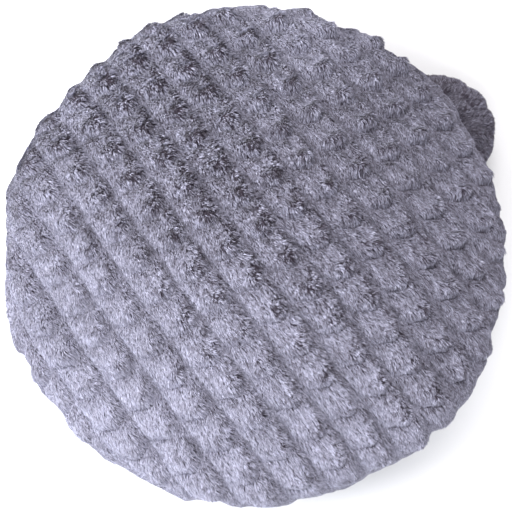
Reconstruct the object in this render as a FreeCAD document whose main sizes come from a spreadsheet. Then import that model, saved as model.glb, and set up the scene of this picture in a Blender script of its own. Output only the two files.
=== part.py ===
"""Round pet cushion bed: a zipped cover of bubble-embossed plush over a fibre-filled inner pillow.

Millimetres, +Z up, origin on the floor under the middle of the bed. The zip closes the cover low down round
the back, from the +X/+Y quarter to the -X side. Every sub-part is one labelled object of the document.
"""

import FreeCAD, Part
import math
import os
import Sketcher

SIZES = {
    # whole bed
    "bed_diameter": 500.0,
    "bed_height": 130.0,
    "equator_height": 58.0,
    "edge_roll": 45.0,
    "side_roll": 120.0,
    "seam_height": 24.0,
    # cloth
    "plush_thickness": 7.0,
    "base_thickness": 1.6,
    "liner_thickness": 0.8,
    "cloth_gap": 0.6,
    "pillow_gap": 5.0,
    # fold of spare plush that stands out of the side
    "fold_angle": 33.5,
    "fold_half_width": 60.0,
    "fold_reach": 55.0,
    "fold_half_height": 21.0,
    "fold_centre_radius": 235.0,
    "fold_centre_height": 30.0,
    # grip dots under the base
    "dot_height": 0.6,
    "dot_radius": 4.0,
    "dot_pitch": 52.0,
    "dot_field": 208.0,
    # zip opening and tapes
    "chain_radius": 239.0,
    "window_start": 53.5,
    "window_angle": 120.0,
    "window_half_height": 7.0,
    "window_cut_in": 10.0,
    "window_cut_out": 20.0,
    "rebate_half_height": 10.0,
    "rebate_depth": 1.2,
    "tape_thickness": 0.6,
    "tape_edge": 9.6,
    "tape_end_gap": 0.3,
    # teeth, stops and stitches
    "slit_half": 0.6,
    "tooth_reach": 3.2,
    "tooth_half_thickness": 1.4,
    "tooth_width": 1.7,
    "tooth_pitch": 3.4,
    "chain_start": 57.0,
    "chain_angle": 109.6,
    "stop_length": 2.6,
    "top_stop_angle": 55.9,
    "bottom_stop_angle": 167.6,
    "stitch_height": 15.2,
    "stitch_length": 3.2,
    "stitch_pitch": 4.6,
    "stitch_radius": 0.4,
    # slider and its pull tab
    "slider_angle": 58.9,
    "slider_half_length": 7.0,
    "slider_half_width": 5.2,
    "tunnel_half_width": 3.9,
    "tunnel_half_depth": 1.8,
    "slider_half_depth": 2.8,
    "tape_slot_half": 0.7,
    "tape_slot_overlap": 0.5,
    "cut_over": 1.0,
    "post_half": 0.25,
    "bridge_half_length": 5.5,
    "bridge_half_width": 1.2,
    "bridge_under": 5.2,
    "bridge_top": 6.4,
    "bridge_leg": 1.2,
    "pivot_height": 4.0,
    "pivot_half": 0.7,
    "tab_half_width": 3.6,
    "tab_slot_half_width": 1.8,
    "tab_slot_end": 6.3,
    "tab_length": 25.0,
    "tab_half_thickness": 0.6,
    "tab_tip_radius": 2.9,
    # care label
    "label_angle": 190.0,
    "label_width": 26.0,
    "label_drop": 18.0,
    "label_thickness": 0.7,
    "label_stand_off": 0.3,
    # closing stitches of the inner case
    "closing_start": 250.0,
    "closing_angle": 34.0,
    "closing_step": 1.7,
    "closing_length": 6.0,
}

TOLERANCE = 0.01
# Rows of a triangular grid stand this share of its pitch apart
TRIANGULAR = math.sqrt(0.75)

doc = FreeCAD.newDocument("pet_cushion_bed")
sheet = doc.addObject("Spreadsheet::Sheet", "Sizes")
for row, (alias, value) in enumerate(SIZES.items(), start=1):
    sheet.set(f"A{row}", alias)
    sheet.set(f"B{row}", str(value))
    sheet.setAlias(f"B{row}", alias)
doc.recompute()

sub_parts = []


def cell(text):
    """An expression on the sheet's cells, from one that marks each cell with a dollar sign."""
    return text.replace("$", "Sizes.")


def number(text):
    """The value that an expression on the sheet's cells has now."""
    result = sheet.evalExpression(cell(text))
    return float(getattr(result, "Value", result))


def keep(feature, node):
    """Names a finished object as one of the bed's sub-parts."""
    feature.Label = node
    sub_parts.append(feature)
    return feature


# --- Section outlines -----------------------------------------------------------------------------------
# The crown is one large arc that runs tangent into the edge roll, which runs tangent at the equator into
# the flatter side arc. Each outline is the same section, moved inwards by an inset.

ROLL_X = "($bed_diameter / 2 - $edge_roll)"
SIDE_X = "($bed_diameter / 2 - $side_roll)"
RISE = "($bed_height - $equator_height)"
CROWN = f"(({ROLL_X}^2 + {RISE}^2 - $edge_roll^2) / (2 * ({RISE} - $edge_roll)))"
LEAN_X = f"({ROLL_X} / ({CROWN} - $edge_roll))"
LEAN_Z = f"(({CROWN} - {RISE}) / ({CROWN} - $edge_roll))"
DROP = "($equator_height - $seam_height)"
SEAM_RADIUS = f"({SIDE_X} + sqrt($side_roll^2 - {DROP}^2))"
BASE_FLAT = f"({SEAM_RADIUS} - $seam_height + $dot_height)"
PILLOW_INSET = "($plush_thickness + $pillow_gap)"
PILLOW_FLOOR = "($dot_height + $base_thickness + $cloth_gap)"


def crown_edges(inset):
    """Edge roll and crown of the section, from the equator up to the middle of the top."""
    roll = f"($edge_roll - {inset})"
    return [
        (f"{ROLL_X} + {roll}", "$equator_height", roll, 1),
        (f"{ROLL_X} + {roll} * {LEAN_X}", f"$equator_height + {roll} * {LEAN_Z}", f"({CROWN} - {inset})", 1),
        ("0", f"$bed_height - {inset}"),
    ]


def cover_edges(inset):
    """The top panel's section: across at the seam, up the side, over the edge and back to the middle."""
    side = f"($side_roll - {inset})"
    return [
        ("0", "$seam_height"),
        (f"{SIDE_X} + sqrt({side}^2 - {DROP}^2)", "$seam_height", side, 1),
    ] + crown_edges(inset)


def base_edges(inset):
    """The base panel's section: flat underneath, turned up at the edge to meet the seam."""
    turn = f"($seam_height - $dot_height - ({inset}))"
    return [
        ("0", f"$dot_height + ({inset})"),
        (BASE_FLAT, f"$dot_height + ({inset})", turn, 1),
        (f"{BASE_FLAT} + {turn}", "$seam_height"),
        ("0", "$seam_height"),
    ]


def pillow_edges(skin):
    """The inner pillow's whole section, moved inwards by the part of its case that is left outside."""
    inset = f"({PILLOW_INSET} + {skin})"
    turn = f"($equator_height - {PILLOW_FLOOR} - {skin})"
    rim = f"({ROLL_X} + $edge_roll - {inset})"
    return [
        ("0", f"{PILLOW_FLOOR} + {skin}"),
        (f"{rim} - {turn}", f"{PILLOW_FLOOR} + {skin}", turn, 1),
    ] + crown_edges(inset)


# --- Sketch and feature helpers -------------------------------------------------------------------------


def new_sketch(body, name, role):
    """An empty sketch on one of the body's own origin planes."""
    sketch = body.newObject("Sketcher::SketchObject", name)
    plane = next(item for item in body.Origin.OriginFeatures if item.Role == role)
    sketch.AttachmentSupport = [(plane, "")]
    sketch.MapMode = "FlatFace"
    return sketch


def pin_point(sketch, edge, x_text, y_text):
    """Ties an edge's first point to the sheet, measured from the sketch's origin."""
    for kind, text, axis in (("DistanceX", x_text, -2), ("DistanceY", y_text, -1)):
        if text == "0":
            sketch.addConstraint(Sketcher.Constraint("PointOnObject", edge, 1, axis))
            continue
        index = sketch.addConstraint(Sketcher.Constraint(kind, -1, 1, edge, 1, number(text)))
        sketch.setExpression(f"Constraints[{index}]", cell(text))


def arc_between(start, stop, radius):
    """The short anticlockwise arc from start to stop."""
    half = (stop - start) * 0.5
    towards_centre = FreeCAD.Vector(-half.y, half.x, 0).normalize()
    centre = start + half + towards_centre * math.sqrt(max(radius**2 - half.Length**2, 0.0))
    first = math.atan2(start.y - centre.y, start.x - centre.x)
    last = math.atan2(stop.y - centre.y, stop.x - centre.x)
    circle = Part.Circle(centre, FreeCAD.Vector(0, 0, 1), radius)
    return Part.ArcOfCircle(circle, first, last)


def closed_loop(sketch, edges):
    """Adds a closed outline. An edge is its start point, and its radius where it is an anticlockwise arc."""
    first = sketch.GeometryCount
    spots = [FreeCAD.Vector(number(edge[0]), number(edge[1]), 0) for edge in edges]
    for index, edge in enumerate(edges):
        start = spots[index]
        stop = spots[(index + 1) % len(edges)]
        if len(edge) == 2:
            sketch.addGeometry(Part.LineSegment(start, stop), False)
        else:
            sketch.addGeometry(arc_between(start, stop, number(edge[2])), False)
    for index, edge in enumerate(edges):
        following = first + (index + 1) % len(edges)
        sketch.addConstraint(Sketcher.Constraint("Coincident", first + index, 2, following, 1))
        pin_point(sketch, first + index, edge[0], edge[1])
    for index, edge in enumerate(edges):
        if len(edge) > 2:
            radius = sketch.addConstraint(Sketcher.Constraint("Radius", first + index, number(edge[2])))
            sketch.setExpression(f"Constraints[{radius}]", cell(edge[2]))


def rectangle(left, low, right, high):
    """A rectangle's four corners, anticlockwise."""
    return [(left, low), (right, low), (right, high), (left, high)]


def bound(feature, prop, text):
    feature.setExpression(prop, cell(text))


def turned(body, name, kind, edges, start="0", angle="360"):
    """Revolves (PartDesign::Revolution) or cuts (PartDesign::Groove) a section about the bed's Z axis."""
    sketch = new_sketch(body, name + "_section", "XZ_Plane")
    turn = FreeCAD.Rotation(FreeCAD.Vector(0, 1, 0), number(start))
    sketch.AttachmentOffset = FreeCAD.Placement(FreeCAD.Vector(), turn)
    if start != "0":
        bound(sketch, "AttachmentOffset.Rotation.Angle", f"{start} * 1deg")
    closed_loop(sketch, edges)
    feature = body.newObject(kind, name)
    feature.Profile = sketch
    feature.ReferenceAxis = (sketch, ["V_Axis"])
    feature.Angle = number(angle)
    if angle != "360":
        bound(feature, "Angle", f"{angle} * 1deg")
    body.Tip = feature
    doc.recompute()
    return feature


def padded(body, name, kind, role, loops, length):
    """A pad (PartDesign::Pad) or pocket (PartDesign::Pocket) both ways from an origin plane."""
    sketch = new_sketch(body, name + "_outline", role)
    for loop in loops:
        closed_loop(sketch, loop)
    feature = body.newObject(kind, name)
    feature.Profile = sketch
    feature.Midplane = True
    bound(feature, "Length", length)
    body.Tip = feature
    doc.recompute()
    return feature


def new_body(name):
    return doc.addObject("PartDesign::Body", name)


def solid_group(name, node, shapes):
    """Several separate solids of one kind as a single sub-part."""
    feature = doc.addObject("Part::Feature", name)
    feature.Shape = Part.makeCompound(shapes)
    feature.Placement = FreeCAD.Placement()
    return keep(feature, node)


def on_circle(angle, radius, height):
    """A frame on a circle round the bed: local X along the circle, Y up, Z outwards."""
    turn = math.radians(angle)
    along = FreeCAD.Vector(-math.sin(turn), math.cos(turn), 0)
    outwards = FreeCAD.Vector(math.cos(turn), math.sin(turn), 0)
    rotation = FreeCAD.Rotation(along, FreeCAD.Vector(0, 0, 1), outwards, "ZXY")
    return FreeCAD.Placement(outwards * radius + FreeCAD.Vector(0, 0, height), rotation)


def block(low, high, frame):
    """A box between two corners of a local frame."""
    size = FreeCAD.Vector(*high) - FreeCAD.Vector(*low)
    box = Part.makeBox(size.x, size.y, size.z, FreeCAD.Vector(*low))
    return box.transformed(frame.toMatrix())


def rod(length, radius, direction, frame):
    """A short round thread centred on a local frame's origin."""
    axis = FreeCAD.Vector(*direction)
    thread = Part.makeCylinder(radius, length, axis * (-length / 2), axis)
    return thread.transformed(frame.toMatrix())


# --- Cover ----------------------------------------------------------------------------------------------

ZIP_HEIGHT = "$seam_height"
WINDOW_IN = "($chain_radius - $window_cut_in)"
WINDOW_OUT = "($chain_radius + $window_cut_out)"
REBATE = "($chain_radius + $rebate_depth)"


def zip_opening(body, name):
    """Cuts the gap that the zip shows in, with a step behind its edges where the tapes are sewn on."""
    low, high = f"({ZIP_HEIGHT} - $window_half_height)", f"({ZIP_HEIGHT} + $window_half_height)"
    step_low, step_high = f"({ZIP_HEIGHT} - $rebate_half_height)", f"({ZIP_HEIGHT} + $rebate_half_height)"
    section = [
        (WINDOW_IN, step_low),
        (REBATE, step_low),
        (REBATE, low),
        (WINDOW_OUT, low),
        (WINDOW_OUT, high),
        (REBATE, high),
        (REBATE, step_high),
        (WINDOW_IN, step_high),
    ]
    return turned(body, name, "PartDesign::Groove", section, "$window_start", "$window_angle")


def cover_top_panel():
    """Plush crown and side, with the fold of spare plush that bulges out low on the side."""
    body = new_body("TopPanel")
    turned(body, "TopForm", "PartDesign::Revolution", cover_edges("0"))
    fold = body.newObject("PartDesign::AdditiveEllipsoid", "SideFold")
    bound(fold, "Radius1", "$fold_half_height")
    bound(fold, "Radius2", "$fold_reach")
    bound(fold, "Radius3", "$fold_half_width")
    fold.Placement.Rotation = FreeCAD.Rotation(FreeCAD.Vector(0, 0, 1), number("$fold_angle"))
    bound(fold, "Placement.Base.x", "$fold_centre_radius * cos($fold_angle * 1deg)")
    bound(fold, "Placement.Base.y", "$fold_centre_radius * sin($fold_angle * 1deg)")
    bound(fold, "Placement.Base.z", "$fold_centre_height")
    body.Tip = fold
    doc.recompute()
    turned(body, "TopHollow", "PartDesign::Groove", cover_edges("$plush_thickness"))
    turned(body, "FoldUnderside", "PartDesign::Groove", base_edges("-$cloth_gap"))
    zip_opening(body, "TopZipOpening")
    return keep(body, "cover_top_panel")


def cover_base_panel():
    """Woven base cloth, flat on the floor and turned up to the seam."""
    body = new_body("BasePanel")
    turned(body, "BaseForm", "PartDesign::Revolution", base_edges("0"))
    turned(body, "BaseHollow", "PartDesign::Groove", base_edges("$base_thickness"))
    zip_opening(body, "BaseZipOpening")
    return keep(body, "cover_base_panel")


def grip_dots():
    """Silicone dots in a triangular grid under the base, one of them in the middle."""
    pitch = number("$dot_pitch")
    radius = number("$dot_radius")
    rows = math.ceil(number("$dot_field") / (pitch * TRIANGULAR))
    dots = []
    for row in range(-rows, rows + 1):
        for column in range(-rows, rows + 1):
            spot = FreeCAD.Vector((column + 0.5 * (row % 2)) * pitch, row * pitch * TRIANGULAR, 0)
            if spot.Length <= number("$dot_field"):
                dots.append(Part.makeCylinder(radius, number("$dot_height"), spot))
    return solid_group("GripDots", "grip_dots", dots)


def care_label():
    """Blank cloth label caught in the seam, hanging down outside the base cloth."""
    frame = on_circle(number("$label_angle"), number(SEAM_RADIUS), number("$seam_height"))
    half_width = number("$label_width") / 2
    near = number("$label_stand_off")
    low = (-half_width, -number("$label_drop"), near)
    high = (half_width, 0, near + number("$label_thickness"))
    feature = doc.addObject("Part::Feature", "CareLabel")
    feature.Shape = block(low, high, FreeCAD.Placement())
    feature.Placement = frame
    return keep(feature, "care_label")


# --- Zip ------------------------------------------------------------------------------------------------


def zip_tape(name, node, side):
    """One woven tape, from the teeth outwards under the edge of its panel. Side is + up or - down."""
    inner = "($chain_radius - $tape_thickness / 2)"
    outer = "($chain_radius + $tape_thickness / 2)"
    near, far = f"({ZIP_HEIGHT} {side} $tooth_reach)", f"({ZIP_HEIGHT} {side} $tape_edge)"
    low, high = (near, far) if side == "+" else (far, near)
    body = new_body(name)
    start = "($window_start + $tape_end_gap)"
    angle = "($window_angle - 2 * $tape_end_gap)"
    turned(body, name + "Cloth", "PartDesign::Revolution", rectangle(inner, low, outer, high), start, angle)
    return keep(body, node)


def zip_teeth(name, node, side):
    """One row of teeth, each a block on the edge of its tape. Side is +1 up or -1 down."""
    radius = number("$chain_radius")
    step = math.degrees(number("$tooth_pitch") / radius)
    count = int(number("$chain_angle") / step)
    half = number("$tooth_width") / 2
    deep = number("$tooth_half_thickness")
    low, high = sorted((side * number("$slit_half"), side * number("$tooth_reach")))
    shift = 0.0 if side > 0 else step / 2
    teeth = []
    for index in range(count):
        frame = on_circle(number("$chain_start") + shift + index * step, radius, number(ZIP_HEIGHT))
        teeth.append(block((-half, low, -deep), (half, high, deep), frame))
    return solid_group(name, node, teeth)


def zip_stops():
    """Two clips that stop the slider at the closed end, one on each row, and one bar at the open end."""
    half = number("$stop_length") / 2
    deep = number("$tooth_half_thickness")
    gap, reach = number("$slit_half"), number("$tooth_reach")
    frame = on_circle(number("$top_stop_angle"), number("$chain_radius"), number(ZIP_HEIGHT))
    upper = block((-half, gap, -deep), (half, reach, deep), frame)
    lower = block((-half, -reach, -deep), (half, -gap, deep), frame)
    solid_group("TopStops", "zip_top_stops", [upper, lower])
    frame = on_circle(number("$bottom_stop_angle"), number("$chain_radius"), number(ZIP_HEIGHT))
    bar = block((-half, -reach, -deep), (half, reach, deep), frame)
    solid_group("BottomStop", "zip_bottom_stop", [bar])


def zip_topstitches():
    """The row of thread that holds the lower tape to the base cloth."""
    turn = number("$seam_height - $dot_height")
    below = number("$seam_height - $stitch_height")
    surface = number(BASE_FLAT) + math.sqrt(turn**2 - below**2)
    clear = number("$stitch_radius") * turn / math.sqrt(turn**2 - below**2)
    radius = surface + clear
    step = math.degrees(number("$stitch_pitch") / radius)
    count = int(number("$window_angle") / step)
    threads = []
    for index in range(count):
        frame = on_circle(number("$window_start") + (index + 0.5) * step, radius, number("$stitch_height"))
        threads.append(rod(number("$stitch_length"), number("$stitch_radius"), (1, 0, 0), frame))
    return solid_group("TopStitches", "zip_topstitches", threads)


def zip_slider():
    """Slider: two plates joined by a thin post between the rows, with a bridge that holds the pull tab."""
    body = new_body("Slider")
    width, depth = "$slider_half_width", "$slider_half_depth"
    tunnel, inside = "$tunnel_half_width", "$tunnel_half_depth"
    slot, post = "$tape_slot_half", "$post_half"
    length = "2 * $slider_half_length"
    outline = rectangle(f"-{width}", f"-{depth}", width, depth)
    padded(body, "SliderBlock", "PartDesign::Pad", "YZ_Plane", [outline], length)
    tunnels = [
        rectangle(post, f"-{inside}", tunnel, inside),
        rectangle(f"-{tunnel}", f"-{inside}", f"-{post}", inside),
    ]
    padded(body, "ToothTunnels", "PartDesign::Pocket", "YZ_Plane", tunnels, f"{length} + 2 * $cut_over")
    near, far = f"({tunnel} - $tape_slot_overlap)", f"({width} + $cut_over)"
    slots = [
        rectangle(near, f"-{slot}", far, slot),
        rectangle(f"-{far}", f"-{slot}", f"-{near}", slot),
    ]
    padded(body, "TapeSlots", "PartDesign::Pocket", "YZ_Plane", slots, f"{length} + 2 * $cut_over")
    reach, leg = "$bridge_half_length", "($bridge_half_length - $bridge_leg)"
    foot = "($slider_half_depth - $tape_slot_half)"
    bridge = [
        (f"-{reach}", foot),
        (f"-{leg}", foot),
        (f"-{leg}", "$bridge_under"),
        (leg, "$bridge_under"),
        (leg, foot),
        (reach, foot),
        (reach, "$bridge_top"),
        (f"-{reach}", "$bridge_top"),
    ]
    padded(body, "Bridge", "PartDesign::Pad", "XZ_Plane", [bridge], "2 * $bridge_half_width")
    body.Placement = on_circle(number("$slider_angle"), number("$chain_radius"), number(ZIP_HEIGHT))
    return keep(body, "zip_slider")


def zip_pull_tab():
    """Flat pull tab whose end bar turns under the slider's bridge."""
    body = new_body("PullTab")
    low, high = "($pivot_height - $tab_half_thickness)", "($pivot_height + $tab_half_thickness)"
    side = rectangle("-$pivot_half", low, "$tab_length", high)
    padded(body, "TabPlate", "PartDesign::Pad", "XZ_Plane", [side], "2 * $tab_half_width")
    through = "2 * ($pivot_height + $tab_half_thickness + $cut_over)"
    eye = rectangle("$pivot_half", "-$tab_slot_half_width", "$tab_slot_end", "$tab_slot_half_width")
    plate = padded(body, "TabEye", "PartDesign::Pocket", "XY_Plane", [eye], through)
    names = [f"Edge{index + 1}" for index in range(len(plate.Shape.Edges))]
    corners = [name for name in names if is_tab_tip(plate.Shape.getElement(name))]
    tip = body.newObject("PartDesign::Fillet", "TabTip")
    tip.Base = (plate, corners)
    bound(tip, "Radius", "$tab_tip_radius")
    body.Tip = tip
    doc.recompute()
    body.Placement = on_circle(number("$slider_angle"), number("$chain_radius"), number(ZIP_HEIGHT))
    return keep(body, "zip_pull_tab")


def is_tab_tip(edge):
    """Whether an edge is one of the two short corners at the pull tab's free end."""
    box = edge.BoundBox
    return box.XMin > number("$tab_length") - TOLERANCE and box.YLength < TOLERANCE


# --- Inner pillow ---------------------------------------------------------------------------------------


def half_case(name, node, keep_upper):
    """One disc of the inner case, domed above the equator or below it."""
    body = new_body(name)
    turned(body, name + "Form", "PartDesign::Revolution", pillow_edges("0"))
    turned(body, name + "Hollow", "PartDesign::Groove", pillow_edges("$liner_thickness"))
    floor, ceiling = "-$cut_over", "($bed_height + $cut_over)"
    low, high = (floor, "$equator_height") if keep_upper else ("$equator_height", ceiling)
    other_half = rectangle("0", low, "$bed_diameter", high)
    turned(body, name + "Split", "PartDesign::Groove", other_half)
    return keep(body, node)


def fibre_fill():
    """Loose fibre, as the solid that it fills."""
    body = new_body("FibreFill")
    turned(body, "Fibre", "PartDesign::Revolution", pillow_edges("$liner_thickness"))
    return keep(body, "fibre_fill")


def closing_stitches():
    """Stitches across the case's seam where the filling went in."""
    radius = number(f"{ROLL_X} + $edge_roll - {PILLOW_INSET} + $stitch_radius")
    step = number("$closing_step")
    count = int(number("$closing_angle") / step)
    threads = []
    for index in range(count):
        frame = on_circle(number("$closing_start") + index * step, radius, number("$equator_height"))
        threads.append(rod(number("$closing_length"), number("$stitch_radius"), (0, 1, 0), frame))
    return solid_group("ClosingStitches", "inner_case_closing_stitches", threads)


cover_top_panel()
cover_base_panel()
grip_dots()
care_label()
zip_tape("TapeUpper", "zip_tape_upper", "+")
zip_tape("TapeLower", "zip_tape_lower", "-")
zip_teeth("TeethUpper", "zip_teeth_upper", 1)
zip_teeth("TeethLower", "zip_teeth_lower", -1)
zip_stops()
zip_topstitches()
zip_slider()
zip_pull_tab()
half_case("CaseTop", "inner_case_top", True)
half_case("CaseBase", "inner_case_base", False)
closing_stitches()
fibre_fill()
doc.recompute()

for item in doc.Objects:
    if "Invalid" in item.State or "Error" in item.State:
        raise SystemExit(f"{item.Label} did not recompute: {item.State}")
for item in sub_parts:
    if item.Shape.isNull() or not item.Shape.isValid():
        raise SystemExit(f"{item.Label} has no valid shape")

os.makedirs("parts", exist_ok=True)
for item in sub_parts:
    item.Shape.exportStep(f"parts/{item.Label}.step")
    box = item.Shape.BoundBox
    print(
        f"{item.Label:28s} solids {len(item.Shape.Solids):4d}  volume {item.Shape.Volume / 1000:9.2f} cm3  "
        f"z {box.ZMin:7.2f} to {box.ZMax:7.2f}  x {box.XMin:7.1f} to {box.XMax:7.1f}  "
        f"y {box.YMin:7.1f} to {box.YMax:7.1f}"
    )
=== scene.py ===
"""Looks of the round pet cushion bed: bubble-embossed plush cover, base cloth and zip, in metres.

+Z is up and the camera looks along +Y, so +X is to the right. Fabric coordinates (u, v) are the flat plush
panel's own, in metres from its middle: the panel is laid over the crown by its length along the section.
"""

import math

import bpy
import numpy as np
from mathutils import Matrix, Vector


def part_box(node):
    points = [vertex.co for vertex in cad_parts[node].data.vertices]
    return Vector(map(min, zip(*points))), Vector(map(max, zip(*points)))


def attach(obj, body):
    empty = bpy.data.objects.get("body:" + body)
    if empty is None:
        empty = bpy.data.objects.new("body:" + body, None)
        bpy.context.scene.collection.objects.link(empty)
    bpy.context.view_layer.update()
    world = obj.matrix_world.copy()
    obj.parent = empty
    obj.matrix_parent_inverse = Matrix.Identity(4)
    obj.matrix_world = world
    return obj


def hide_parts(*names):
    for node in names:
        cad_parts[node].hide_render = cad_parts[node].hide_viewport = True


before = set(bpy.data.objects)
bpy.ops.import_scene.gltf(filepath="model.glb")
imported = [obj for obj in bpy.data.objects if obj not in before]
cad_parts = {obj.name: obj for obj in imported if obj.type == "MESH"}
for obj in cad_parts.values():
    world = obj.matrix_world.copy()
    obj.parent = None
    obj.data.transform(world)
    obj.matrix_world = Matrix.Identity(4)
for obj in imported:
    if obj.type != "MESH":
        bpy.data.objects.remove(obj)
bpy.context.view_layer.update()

MM = 0.001
TAU = 2 * math.pi

# Section of the bed, as the CAD has it
BED_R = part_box("cover_top_panel")[1].y
BED_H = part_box("cover_top_panel")[1].z
SEAM_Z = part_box("cover_base_panel")[1].z
EQUATOR_Z = 58 * MM
EDGE_ROLL = 45 * MM
SIDE_ROLL = 120 * MM
ROLL_X = BED_R - EDGE_ROLL
RISE = BED_H - EQUATOR_Z
CROWN_R = (ROLL_X**2 + RISE**2 - EDGE_ROLL**2) / (2 * (RISE - EDGE_ROLL))
CROWN_LEAN = math.asin(ROLL_X / (CROWN_R - EDGE_ROLL))

# Embossed plush: how deep its ground cloth and lining lie, and its two families of rows
PILE_DEPTH = 7 * MM
LINING_DEPTH = 11.7 * MM
BUBBLE_RISE = 11.0 * MM
BUBBLE_MEAN = 0.29
PITCH_A, TURN_A, PHASE_A = 35.0 * MM, math.radians(36.4), 0.27
PITCH_B, TURN_B, PHASE_B = 34.3 * MM, math.radians(122.6), 0.29
DRIFT = 0.05
RIM_WIDTH = 60 * MM
RIM_BULGE = 0.6 * MM
SEAM_BULGE = 5.6 * MM
PLUSH_COLUMNS, PLUSH_RINGS, LINING_RINGS = 576, 126, 26

# Grid of the cloth simulation that makes the stuffing uneven, and the most it may add
FORM_ROWS, FORM_COLUMNS = 44, 144
FORM_START = 6 * MM
FORM_FRAMES = 20
FORM_LIMIT = 6 * MM

# Pile: blades, the tufts and locks they lean into, and the direction it is brushed in
FIBRES = 640000
FOLD_FIBRES = 40000
FIBRES_PER_PIECE = 90000
PILE_LENGTH = 5.8 * MM
PILE_WIDTH = 0.56 * MM
PILE_ROOT = 0.4 * MM
TUFT = 2.4 * MM
LOCK = 5.0 * MM
STROKE = 1.2 * MM
NAP_TURN = math.radians(-55)
RUFFLED_WIDTH = 135 * MM
TINTS = 6
# The dark end of the tints is mostly painted shade: at the roots, on the ground cloth and on the fold.
PILE_DARK = np.array([0.055, 0.042, 0.062])
PILE_LIGHT = np.array([0.600, 0.600, 0.755])

# Fold of spare plush at the side: its azimuth, middle, half sizes, and how near the bed it comes
FOLD_TURN = math.radians(33.5)
FOLD_CENTRE = Vector((0.235, 0.0, 0.034))
FOLD_HALF = (0.0575, 0.0590, 0.0175)
FOLD_BACK = 0.2405
FOLD_RISE = 6.0 * MM

# Zip window in the cover, as azimuths round the bed
WINDOW = (math.radians(53.5), math.radians(173.5))
WINDOW_HALF = 7 * MM

# Base cloth, turned up to the seam and stitched along the zip
DOT_HEIGHT = 0.6 * MM
BASE_CLOTH_THICKNESS = 1.6 * MM
SEAM_R = BED_R - SIDE_ROLL + math.sqrt(SIDE_ROLL**2 - (EQUATOR_Z - SEAM_Z) ** 2)
TURN_UP = SEAM_Z - DOT_HEIGHT
BASE_FLAT = SEAM_R - TURN_UP
BASE_COLUMNS, BASE_FLAT_RINGS, BASE_TURN_RINGS = 960, 24, 16
TUCK_DEPTH = 4.0 * MM
HEM_Z = 13 * MM
HEM_R = 240.4 * MM
STITCH_Z = 15.2 * MM
STITCH_PITCH, STITCH_LENGTH, STITCH_PROUD = 4.6 * MM, 3.2 * MM, 0.4 * MM

# Zip: tapes, teeth and the azimuth where the chain ends
TAPE_R = 239 * MM
TAPE_NEAR, TAPE_FAR = 3.2 * MM, 9.6 * MM
TAPE_CORD = 1.1 * MM
TAPE_THIN, TAPE_THICK = 0.3 * MM, 0.55 * MM
TAPE_INSET = math.radians(0.3)
CHAIN_START, CHAIN_SPAN = math.radians(57), math.radians(109.6)
TOOTH_PITCH = 3.4 * MM
BOTTOM_STOP = math.radians(168.3)

# Care label: flat size, half thickness, azimuth and how far it hangs clear of the base cloth
LABEL_WIDTH, LABEL_DROP = 26 * MM, 17.5 * MM
LABEL_HALF = 0.28 * MM
LABEL_TURN = math.radians(190)
LABEL_CLEAR = 0.75 * MM

# Inner pillow
PILLOW_INSET = 12 * MM
PILLOW_FLOOR = 2.8 * MM
PILLOW_R = BED_R - PILLOW_INSET
PILLOW_COLUMNS = 288
LINER_THICKNESS = 0.8 * MM
FILL_CLEAR = 0.3 * MM

# Stage
FLOOR_Z = -0.3 * MM
FLOOR_HALF = 8
CAMERA_PITCH = math.radians(81.3)
CAMERA_DISTANCE = 0.60
CAMERA_TARGET = Vector((0.0015, -0.0112, EQUATOR_Z))
CAMERA_SENSOR = 36
CAMERA_VIEW_WIDTH = 509.96 * MM

rng = np.random.default_rng(11)


# --- Noise and small vector helpers ---------------------------------------------------------------------

NOISE_SIZE = 64
NOISE_TABLES = rng.random((8, NOISE_SIZE, NOISE_SIZE)) * 2 - 1


def soft_noise(u, v, scale, layer=0):
    """Smooth value noise from -1 to 1 with features about scale metres across."""
    x, y = u / scale + 500.0, v / scale + 500.0
    i, j = np.floor(x).astype(int), np.floor(y).astype(int)
    fx, fy = x - i, y - j
    fx, fy = fx * fx * (3 - 2 * fx), fy * fy * (3 - 2 * fy)
    table = NOISE_TABLES[layer]

    def at(a, b):
        return table[a % NOISE_SIZE, b % NOISE_SIZE]

    low = at(i, j) * (1 - fx) + at(i + 1, j) * fx
    high = at(i, j + 1) * (1 - fx) + at(i + 1, j + 1) * fx
    return low * (1 - fy) + high * fy


def unit(a):
    """Vectors brought to length one."""
    return a / np.maximum(np.linalg.norm(a, axis=-1, keepdims=True), 1e-12)


def smooth(x):
    """0 below 0 and 1 above 1, with a soft ramp between them."""
    x = np.clip(x, 0, 1)
    return x * x * (3 - 2 * x)


def azimuths(columns):
    """Evenly spaced azimuths once round the bed."""
    return np.arange(columns) / columns * TAU


def on_rings(r, theta, z):
    """Points at radius r, azimuth theta and height z."""
    return np.stack([r * np.cos(theta), r * np.sin(theta), z], -1)


def nap_axes(u, v, turn=NAP_TURN):
    """Distances along the nap and across it."""
    return u * np.cos(turn) + v * np.sin(turn), v * np.cos(turn) - u * np.sin(turn)


# --- The cushion's surface ------------------------------------------------------------------------------


def section(s, inset):
    """Radius, height and outward normal (radial, up) at length s along the section from the middle."""
    crown, roll, side = CROWN_R - inset, EDGE_ROLL - inset, SIDE_ROLL - inset
    first = crown * CROWN_LEAN
    second = first + roll * (math.pi / 2 - CROWN_LEAN)
    turn = np.where(
        s < first,
        s / crown,
        np.where(s < second, CROWN_LEAN + (s - first) / roll, math.pi / 2 + (s - second) / side),
    )
    r = np.where(
        s < first,
        crown * np.sin(turn),
        np.where(s < second, ROLL_X + roll * np.sin(turn), BED_R - SIDE_ROLL + side * np.sin(turn)),
    )
    z = np.where(
        s < first,
        BED_H - CROWN_R + crown * np.cos(turn),
        np.where(s < second, EQUATOR_Z + roll * np.cos(turn), EQUATOR_Z + side * np.cos(turn)),
    )
    return r, z, np.sin(turn), np.cos(turn)


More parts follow.
